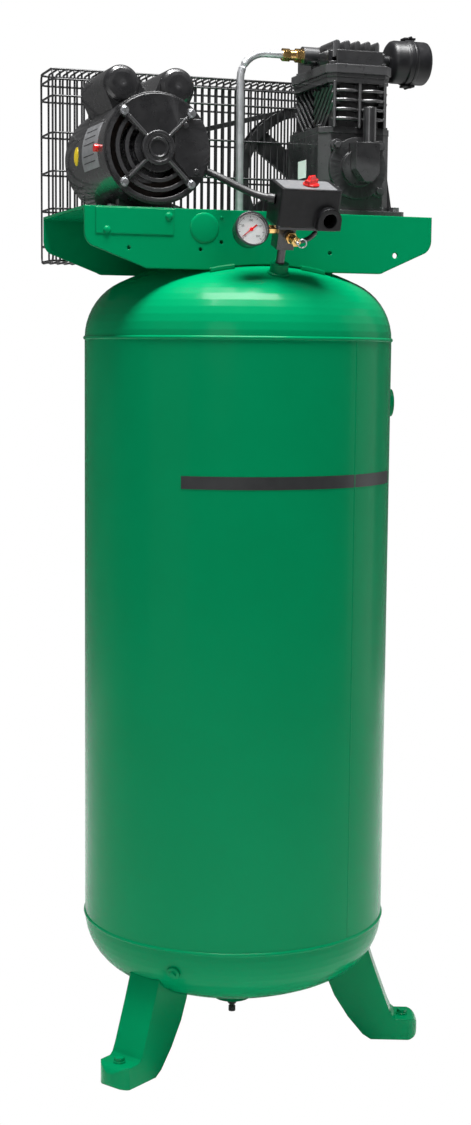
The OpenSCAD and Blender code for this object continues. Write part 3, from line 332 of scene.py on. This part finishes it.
def make_camera():
    """Camera at the left front, a little above the object's middle and looking slightly down."""
    data = bpy.data.cameras.new("camera")
    data.sensor_fit = "VERTICAL"
    data.sensor_height = 36
    data.lens = 56.58
    data.clip_end = 50
    camera = bpy.data.objects.new("camera", data)
    yaw = Matrix.Rotation(math.radians(-19.213), 4, "Z")
    pitch = Matrix.Rotation(math.radians(90 - 6.744), 4, "X")
    roll = Matrix.Rotation(math.radians(0.520), 4, "Z")
    camera.matrix_world = Matrix.Translation(at(-975.1, -2795.6, 1168.6)) @ yaw @ pitch @ roll
    bpy.context.scene.collection.objects.link(camera)
    bpy.context.scene.camera = camera


def area_light(name, place, target, size, power, mirrored=True):
    """Soft rectangular lamp facing its target; unless mirrored, it doesn't show in shiny paint."""
    data = bpy.data.lights.new(name, "AREA")
    data.shape = "RECTANGLE"
    data.size, data.size_y = size
    data.energy = power
    light = bpy.data.objects.new(name, data)
    light.visible_glossy = mirrored
    light.matrix_world = basis(place, place - target, Vector((0, 0, 1)).cross(place - target))
    bpy.context.scene.collection.objects.link(light)


def make_world():
    """White where the camera sees it, and a weak even light elsewhere."""
    world = bpy.data.worlds.new("studio")
    bpy.context.scene.world = world
    world.use_nodes = True
    nodes = world.node_tree.nodes
    links = world.node_tree.links
    seen = nodes["Background"]
    seen.inputs["Color"].default_value = (1, 1, 1, 1)
    seen.inputs["Strength"].default_value = 1.0
    cast = nodes.new("ShaderNodeBackground")
    cast.inputs["Color"].default_value = (1, 1, 1, 1)
    cast.inputs["Strength"].default_value = 0.12
    path = nodes.new("ShaderNodeLightPath")
    mix = nodes.new("ShaderNodeMixShader")
    links.new(path.outputs["Is Camera Ray"], mix.inputs["Fac"])
    links.new(cast.outputs["Background"], mix.inputs[1])
    links.new(seen.outputs["Background"], mix.inputs[2])
    links.new(mix.outputs["Shader"], nodes["World Output"].inputs["Surface"])


def make_stage():
    """A white floor that looks as bright as the background."""
    bpy.ops.mesh.primitive_plane_add(size=30, location=(AXIS.x, AXIS.y, -0.0005))
    floor = bpy.context.object
    floor.name = "floor"
    s = Shader("floor_paint", (0.93, 0.93, 0.93), 0.7)
    s.bsdf.inputs["Specular IOR Level"].default_value = 0.0
    s.vary_colour(1.5, (0.91, 0.91, 0.91), 0.5)
    seen = s.add("ShaderNodeEmission", Color=(1, 1, 1, 1), Strength=1.0)
    path = s.add("ShaderNodeLightPath")
    mix = s.add("ShaderNodeMixShader")
    s.links.new(path.outputs["Is Camera Ray"], mix.inputs["Fac"])
    s.links.new(s.bsdf.outputs["BSDF"], mix.inputs[1])
    s.links.new(seen.outputs["Emission"], mix.inputs[2])
    s.links.new(mix.outputs["Shader"], s.nodes["Material Output"].inputs["Surface"])
    floor.data.materials.append(s.material)


def make_lights():
    """A strong lamp overhead, and weak ones on every side."""
    top = AXIS + Vector((0, 0, 1.0))
    area_light("overhead", AXIS + Vector((-0.1, -0.5, 3.4)), AXIS + Vector((0, 0, 1.3)), (1.5, 1.0), 190)
    area_light("left_wall", AXIS + Vector((-3.0, -1.2, 1.3)), top, (1.8, 3.0), 5)
    area_light("right_wall", AXIS + Vector((3.0, -0.2, 1.3)), top, (1.8, 3.0), 14)
    area_light("back_left", AXIS + Vector((-2.4, 2.2, 1.4)), top, (1.6, 3.0), 20, False)
    area_light("back_right", AXIS + Vector((2.4, 2.0, 1.4)), top, (1.6, 3.0), 20, False)
    area_light("front", AXIS + Vector((-2.4, -4.0, 2.2)), top, (1.6, 1.6), 22)


# ---- mesh helpers ----

CORNER = 5  # points along each corner of a round_loop


def finish_mesh(name, bm, slot, body=ROOT, replaces=(), crease=38, finish=None):
    """Turns a bmesh into a piece on a body, in its slot's material or a finish of its own."""
    bmesh.ops.recalc_face_normals(bm, faces=bm.faces)
    data = bpy.data.meshes.new(name)
    bm.to_mesh(data)
    bm.free()
    data.materials.append(MATERIALS[finish or slot])
    data.shade_smooth()
    data.set_sharp_from_angle(angle=math.radians(crease))
    obj = bpy.data.objects.new(name, data)
    bpy.context.scene.collection.objects.link(obj)
    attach(obj, body)
    if replaces:
        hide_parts(*replaces)


def join_rings(bm, rings, closed):
    """Quads between rings of vertices; the ends are capped unless the rings close on themselves."""
    for a, b in zip(rings, rings[1:] + rings[:1] if closed else rings[1:]):
        for k in range(len(a)):
            n = (k + 1) % len(a)
            bm.faces.new((a[k], a[n], b[n], b[k]))
    if not closed:
        bm.faces.new(rings[0])
        bm.faces.new(rings[-1])


def add_tube(bm, points, radius, sides, closed=False, ripple=0.0):
    """Round bar along points, with an optional ripple in its radius."""
    up = None
    rings = []
    count = len(points)
    for i, p in enumerate(points):
        before = points[i - 1] if i or closed else p
        after = points[(i + 1) % count] if i < count - 1 or closed else p
        along = (after - before).normalized()
        if up is None:
            up = along.orthogonal()
        up = (up - along * up.dot(along)).normalized()
        side = along.cross(up)
        r = radius + ripple * (-1) ** i
        rings.append([bm.verts.new(p + r * (up * math.cos(t) + side * math.sin(t)))
                      for t in (math.tau * k / sides for k in range(sides))])
    join_rings(bm, rings, closed)


def add_lathe(bm, place, profile, segments):
    """Turned shape about Z of place; its profile of (radius, height) in mm starts and ends on the axis."""
    rings = []
    for r, z in profile[1:-1]:
        rings.append([bm.verts.new(place @ (Vector((r * math.cos(t), r * math.sin(t), z)) * MM))
                      for t in (math.tau * k / segments for k in range(segments))])
    for a, b in zip(rings, rings[1:]):
        for k in range(segments):
            n = (k + 1) % segments
            bm.faces.new((a[k], a[n], b[n], b[k]))
    for ring, end in ((rings[0], profile[0]), (rings[-1], profile[-1])):
        tip = bm.verts.new(place @ (Vector((0, 0, end[1])) * MM))
        for k in range(segments):
            bm.faces.new((ring[k], ring[(k + 1) % segments], tip))


def add_box(bm, low, high, place=Matrix()):
    """Box between two corners in metres."""
    corners = ((low[0], low[1]), (high[0], low[1]), (high[0], high[1]), (low[0], high[1]))
    rings = [[bm.verts.new(place @ Vector((x, y, z))) for x, y in corners] for z in (low[2], high[2])]
    join_rings(bm, rings, False)


def add_prism(bm, outline, low, high, place, shrink=1.0):
    """Prism over an outline in mm, from low to high; its top can be smaller."""
    rings = [[bm.verts.new(place @ (Vector((x * k, y * k, z)) * MM)) for x, y in outline]
             for k, z in ((1, low), (shrink, high))]
    join_rings(bm, rings, False)


def add_sheet(bm, rows, place, low, high):
    """Thin sheet laid on a surface: rows of (u, v), and place(u, v, lift) gives the point."""
    grids = [[[bm.verts.new(place(u, v, h)) for u, v in row] for row in rows] for h in (low, high)]
    for grid in grids:
        for a, b in zip(grid, grid[1:]):
            for k in range(len(a) - 1):
                bm.faces.new((a[k], a[k + 1], b[k + 1], b[k]))
    rims = [grid[0] + [row[-1] for row in grid[1:]] + grid[-1][-2::-1] + [row[0] for row in grid[-2:0:-1]]
            for grid in grids]
    for k in range(len(rims[0])):
        n = (k + 1) % len(rims[0])
        bm.faces.new((rims[0][k], rims[0][n], rims[1][n], rims[1][k]))


def grid_rows(u0, u1, v0, v1, across, along):
    """Rows of a rectangular patch."""
    return [[(u0 + (u1 - u0) * i / across, v0 + (v1 - v0) * j / along) for i in range(across + 1)]
            for j in range(along + 1)]


def round_loop(low, high, r):
    """Rectangle with round corners, as points that start on the right side."""
    steps = CORNER - 1
    x0, y0, x1, y1 = low[0] + r, low[1] + r, high[0] - r, high[1] - r
    corners = ((x1, y1, 0), (x0, y1, 90), (x0, y0, 180), (x1, y0, 270))
    turns = [(x, y, math.radians(a + 90 * i / steps)) for x, y, a in corners for i in range(steps + 1)]
    return [(x + r * math.cos(t), y + r * math.sin(t)) for x, y, t in turns]


# ---- tank ----

def on_shell(angle, z, lift):
    """Point on the tank's side: angle in degrees, height in metres."""
    a = math.radians(angle)
    return AXIS + Vector(((TANK_R + lift) * math.cos(a), (TANK_R + lift) * math.sin(a), z))


def make_welds():
    """Welds: both girth seams, the seam along the shell and the ring at the riser's foot."""
    bm = bmesh.new()
    for z in (SEAM_LOW, SEAM_HIGH):
        add_tube(bm, [on_shell(1.25 * i, z, -0.0012) for i in range(288)], 0.0036, 8, True, 0.0001)
    count = 200
    span = SEAM_HIGH - SEAM_LOW
    seam = [on_shell(-62, SEAM_LOW + span * i / count, -0.0016) for i in range(count + 1)]
    add_tube(bm, seam, 0.0024, 6, False, 0.0001)
    foot = basis(KNOB, RISER_UP) @ Matrix.Translation(KNOB_TO_RISER)
    collar = 0.0152
    ring = [foot @ Vector((collar * math.cos(t), collar * math.sin(t), 0.0004))
            for t in (math.tau * k / 48 for k in range(48))]
    add_tube(bm, ring, 0.0026, 8, True, 0.0001)
    finish_mesh("tank_welds", bm, "green_paint", crease=80)


def make_stripe():
    """Plain straight stripe round the front of the tank."""
    bm = bmesh.new()
    z = SEAM_HIGH - 0.222
    half = 0.010
    add_sheet(bm, grid_rows(-129, -32, z - half, z + half, 48, 1), on_shell, -0.0004, 0.0004)
    finish_mesh("tank_stripe", bm, "black_plastic", finish="black_print")


def make_bracket_details():
    """Doubler plate, its bolts, the round embossing and small plugs on the front flange."""
    face = at(0, -138, 0).y
    bm = bmesh.new()
    corner = at(-280, 0, 1349)
    end = at(-155, 0, 1389.5)
    add_box(bm, (corner.x, face - 0.0009, corner.z), (end.x, face + 0.001, end.z))
    bolt = ((0, -1), (5.5, -1), (5.5, 1.5), (4.6, 2.8), (2.5, 3.4), (0, 3.5))
    small_plug = ((0, -1), (2.6, -1), (2.6, 0.6), (1.6, 1.1), (0, 1.2))
    emboss = ((0, -1), (24, -1), (24, 0.1), (22.5, 0.9), (20, 1.3), (0, 1.4))
    for x, z, profile in ((-262, 1354.5, bolt), (-163, 1378, bolt), (-77, 1379, small_plug),
                          (-105, 1362, emboss)):
        origin = at(x, 0, z)
        origin.y = face
        add_lathe(bm, basis(origin, Vector((0, -1, 0))), profile, 32)
    finish_mesh("bracket_details", bm, "green_paint")


# ---- guard ----

def make_guard():
    """Cage of round wires: upright loops inside level loops, open round both shafts."""
    low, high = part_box("guard_front")
    y0 = middle("guard_front").y
    y1 = middle("guard_rear").y
    wire = 0.0018
    z0, z1 = DECK + 0.035, DECK + 0.135
    openings = ((MOTOR.x - 0.034, MOTOR.x + 0.034), (CRANK.x - 0.044, CRANK.x + 0.044))
    bm = bmesh.new()
    count = round((high.x - low.x) / 0.0125)
    loop = round_loop((y0, low.z), (y1, high.z), 0.011)
    for i in range(count + 1):
        x = low.x + wire + (high.x - low.x - 2 * wire) * i / count
        if any(a < x < b for a, b in openings):
            path = [(y0, z0), *loop[2 * CORNER:], *loop[:2 * CORNER], (y0, z1)]
            add_tube(bm, [Vector((x, y, z)) for y, z in path], wire, 6)
        else:
            add_tube(bm, [Vector((x, y, z)) for y, z in loop], wire, 6, True)
    ring = round_loop((low.x, y0 - 1.8 * wire), (high.x, y1 + 1.8 * wire), 0.014)
    front = y0 - 1.8 * wire
    for drop in (0.002, 0.018, 0.045, 0.105, 0.168, 0.230, 0.290, 0.316):
        z = high.z - drop
        if z0 < z < z1:
            path = [(openings[1][1], front), *ring[3 * CORNER:], *ring[:3 * CORNER], (openings[0][0], front)]
            add_tube(bm, [Vector((x, y, z)) for x, y in path], wire, 6)
            add_tube(bm, [Vector((openings[0][1], front, z)), Vector((openings[1][0], front, z))], wire, 6)
        else:
            add_tube(bm, [Vector((x, y, z)) for x, y in ring], wire, 6, True)
    for a, b in openings:
        add_tube(bm, [Vector((x, front, z)) for x, z in round_loop((a, z0), (b, z1), 0.008)], wire, 6, True)
    finish_mesh("guard_cage", bm, "guard_wire", replaces=("guard_front", "guard_rear", "guard_sides"),
                crease=70)


# ---- motor ----

def on_motor(angle, y, lift):
    """Point on the motor's shell: angle in degrees from +X, y in metres from the tank's axis."""
    a = math.radians(angle)
    r = MOTOR_R + lift
    return Vector((MOTOR.x + r * math.cos(a), AXIS.y + y, MOTOR.z + r * math.sin(a)))


def make_motor_plates():
    """Plain rating plate and an oval sticker, without any lettering."""
    bm = bmesh.new()
    rows = [[(152 + 4.7 * i, y) for i in range(11)] for y in (-0.088, 0.006)]
    add_sheet(bm, rows, on_motor, -0.0003, 0.0006)
    finish_mesh("rating_plate", bm, "alloy")
    bm = bmesh.new()
    for a in (158, 165, 172, 184, 191):
        add_sheet(bm, [[(a, y), (a + 0.9, y)] for y in (-0.070, -0.006)], on_motor, 0.0004, 0.0008)
    finish_mesh("rating_plate_lines", bm, "black_plastic")
    bm = bmesh.new()
    rows = []
    for i in range(13):
        t = math.radians(-84 + 14 * i)
        rows.append([(180 + 10 * math.sin(t), 0.044 + s * 0.013 * math.cos(t)) for s in (-1, 1)])
    add_sheet(bm, rows, on_motor, -0.0003, 0.0005)
    finish_mesh("sticker", bm, "dial_white", finish="yellow_print")


def make_bell_hub():
    """Turned bearing hub in the middle of the front bell, and the rounded crests of its ribs."""
    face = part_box("motor_front_bell")[0].y
    bm = bmesh.new()
    place = basis(Vector((MOTOR.x, face, MOTOR.z)), Vector((0, -1, 0)))
    add_lathe(bm, place, ((0, -5), (26.5, -5), (26.5, -1.5), (25.5, 0.2), (22, 0.8), (20.5, 0.2),
                          (19.5, -1.8), (17, -2.2), (15.8, 0.6), (13.6, 0.8), (12.6, -1.6), (9, -2.2),
                          (0, -2.4)), 64)
    for a in (45, 135, 225, 315):
        out = Vector((math.cos(math.radians(a)), 0, math.sin(math.radians(a))))
        root = Vector((MOTOR.x, face + 0.0044, MOTOR.z))
        add_tube(bm, [root + 0.025 * out, root + 0.0655 * out], 0.0029, 10)
    finish_mesh("bell_hub", bm, "black_paint")


# ---- pump ----

def make_block_fins():
    """Rounded lips of the block's front fins and of the V-shaped ribs on its flanks."""
    low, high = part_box("cylinder_block")
    base = low.z
    fin_pitch, rib_pitch, slope = 0.015, 0.016, 0.9
    bm = bmesh.new()
    for level in range(4):
        z = base + 0.022 + fin_pitch * level
        for x0, x1 in ((-0.045, -0.003), (0.003, 0.045)):
            path = []
            for i in range(13):
                t = i / 12
                bulge = math.sin(math.pi * t) ** 0.6 * 0.012
                path.append(Vector((CRANK.x + x0 + (x1 - x0) * t, AXIS.y - 0.064 - bulge, z)))
            add_tube(bm, path, 0.0030, 8)
    for x in (-0.0445, 0.0, 0.0445):
        post = [Vector((CRANK.x + x, AXIS.y - 0.071, z)) for z in (base + 0.008, high.z - 0.006)]
        add_tube(bm, post, 0.0028, 8)
    for side in (-1, 1):
        x = CRANK.x + 0.0465 * side
        for k in range(-3, 5):
            z = base + 0.021 + rib_pitch * k
            steps = (0.004 * i for i in range(22))
            reach = [t for t in steps if base + 0.011 < z + slope * t < high.z - 0.010]
            if len(reach) < 2:
                continue
            for s in (-1, 1):
                rib = [Vector((x, AXIS.y + 0.014 + s * t, z + slope * t)) for t in (reach[0], reach[-1])]
                add_tube(bm, rib, 0.0026, 8)
    finish_mesh("block_fin_edges", bm, "pump_iron", crease=60)


def make_labels():
    """Plain white label on the crankcase's flank."""
    bm = bmesh.new()
    flank = CRANK.x - 0.0625
    low = at(0, 6, 1461)
    high = at(0, 42, 1490)
    add_box(bm, (flank - 0.0006, low.y, low.z), (flank + 0.0005, high.y, high.z))
    finish_mesh("crankcase_label", bm, "dial_white")


def make_filter():
    """Smooth two-part filter can on its neck, with both clips."""
    low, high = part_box("filter_base")
    split = high.x
    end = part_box("filter_cover")[1].x
    height = middle("filter_base").z
    x0 = split - 0.036

    def can(start, profile):
        bm = bmesh.new()
        place = basis(Vector((start, AXIS.y, height)), Vector((1, 0, 0)), Vector((0, 1, 0)))
        add_lathe(bm, place, profile, 72)
        return bm

    neck = (low.x - x0) / MM
    bm = can(x0, ((0, neck), (10, neck), (10, -1), (24, -1), (30, 0.5), (33.5, 3.5), (35, 8), (35, 25),
                  (35.6, 26.5), (37.2, 27.5), (37.5, 29), (37.5, 35.4), (36.8, 36), (0, 36)))
    finish_mesh("filter_body", bm, "black_plastic", replaces=("filter_base",))
    length = (end - split) / MM
    bm = can(split, ((0, 0.1), (36.6, 0.1), (37.5, 0.9), (37.5, 4.4), (36.9, 5.4), (35.8, 6.2), (35.5, 8),
                     (35.5, length - 6), (34.8, length - 2.8), (32.6, length - 0.7), (29, length),
                     (0, length)))
    for s in (-1, 1):
        place = Matrix.Translation(Vector((split, AXIS.y, height + s * 0.0385)))
        add_box(bm, (-0.010, -0.009, -0.0018), (0.010, 0.009, 0.0018), place)
        add_tube(bm, [place @ Vector((0.001, y, s * 0.0018)) for y in (-0.011, 0.011)], 0.0022, 10)
    finish_mesh("filter_can", bm, "black_plastic", replaces=("filter_cover",))


# ---- gauge and switch ----

def make_gauge():
    """Gauge body and bezel, marks and numbers on the dial, pointer and brass stem."""
    place = basis(GAUGE, GAUGE_OUT)
    bm = bmesh.new()
    add_lathe(bm, place, ((0, -29), (17, -28.6), (23.4, -27), (25.3, -24), (25.5, -8), (27, -7), (27.5, -5),
                          (27.3, -1.6), (26.4, -0.2), (25.3, 0), (24.5, -0.8), (24.1, -3), (24.1, -8.9),
                          (0, -8.95)), 72)
    finish_mesh("gauge_body", bm, "grey_metal", replaces=("gauge_case",))

    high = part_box("gauge_case")[1]
    stem_x = 26.6
    stem = basis(GAUGE + Vector((stem_x * MM, 0.012, 0)), Vector((1, 0, 0)), Vector((0, 1, 0)))
    bm = bmesh.new()
    length = (high.x - GAUGE.x) / MM - stem_x
    add_lathe(bm, stem, ((0, -2), (6.2, -2), (6.2, 3.2), (7.2, 3.4), (7.2, length - 8.6), (5.6, length - 8.4),
                         (4.2, length), (0, length)), 6)
    finish_mesh("gauge_stem", bm, "brass", crease=20)

    bm = bmesh.new()
    start, sweep = 225, 270
    numbers_r = 0.0145
    for i in range(41):
        a = math.radians(start - sweep * i / 40)
        major = i % 5 == 0
        mark = place @ Matrix.Rotation(a, 4, "Z")
        inner, half = (0.0184, 0.0004) if major else (0.0199, 0.0002)
        add_box(bm, (inner, -half, -0.0081), (0.0218, half, -0.00785), mark)
    for i in range(5):
        a = math.radians(start - sweep * i / 4)
        curve = bpy.data.curves.new("number", "FONT")
        curve.body = str(50 * i)
        curve.size = 0.0048
        curve.extrude = 0.0001
        curve.align_x = "CENTER"
        curve.align_y = "CENTER"
        number = bpy.data.objects.new("number", curve)
        bpy.context.scene.collection.objects.link(number)
        bpy.context.view_layer.update()
        mesh = bpy.data.meshes.new_from_object(number.evaluated_get(bpy.context.evaluated_depsgraph_get()))
        spot = Vector((numbers_r * math.cos(a), numbers_r * math.sin(a), -0.0079))
        mesh.transform(place @ Matrix.Translation(spot))
        bm.from_mesh(mesh)
        bpy.data.objects.remove(number)
        bpy.data.curves.remove(curve)
        bpy.data.meshes.remove(mesh)
    finish_mesh("gauge_marks", bm, "black_plastic")

    bm = bmesh.new()
    pointer = place @ Matrix.Rotation(math.radians(217), 4, "Z")
    add_prism(bm, ((-12, -1.4), (-12, 1.4), (0, 1.1), (19, 0.3), (19, -0.3), (0, -1.1)), -7.2, -6.5, pointer)
    add_lathe(bm, place, ((0, -7.4), (2.8, -7.4), (2.8, -5.9), (1.8, -5.5), (0, -5.4)), 24)
    finish_mesh("gauge_pointer", bm, "needle_red", "needle", replaces=("gauge_needle",))


def make_switch():
    """Selector with its wedge grip, and the plain grey pad round it."""
    place = basis(KNOB, RISER_UP)
    bm = bmesh.new()
    add_lathe(bm, place, ((0, -8), (4, -8), (4, 0.4), (12.4, 0.4), (13, 1), (12.8, 2.8), (11.8, 3.8),
                          (0, 4)), 48)
    grip = place @ Matrix.Rotation(math.radians(32), 4, "Z")
    add_prism(bm, ((-12, -4.6), (11, -4.2), (15.5, 0), (11, 4.2), (-12, 4.6)), 3.2, 9, grip)
    add_prism(bm, ((-9, -3.4), (9, -3.2), (13, 0), (9, 3.2), (-9, 3.4)), 8.6, 15.5, grip, 0.6)
    finish_mesh("selector_grip", bm, "red_plastic", "selector", replaces=("switch_knob",))
    bm = bmesh.new()
    pad = [(x - 11, y) for x, y in round_loop((-39, -22), (48, 28), 5)]
    add_prism(bm, pad, -0.4, 0.25, place)
    finish_mesh("switch_pad", bm, "black_plastic", finish="pad_grey")


# ---- build ----

paint_nodes()
make_welds()
make_stripe()
make_bracket_details()
make_guard()
make_motor_plates()
make_bell_hub()
make_block_fins()
make_labels()
make_filter()
make_gauge()
make_switch()
make_camera()
make_world()
make_stage()
make_lights()

scene = bpy.context.scene
scene.view_settings.view_transform = "Standard"
scene.view_settings.look = "None"
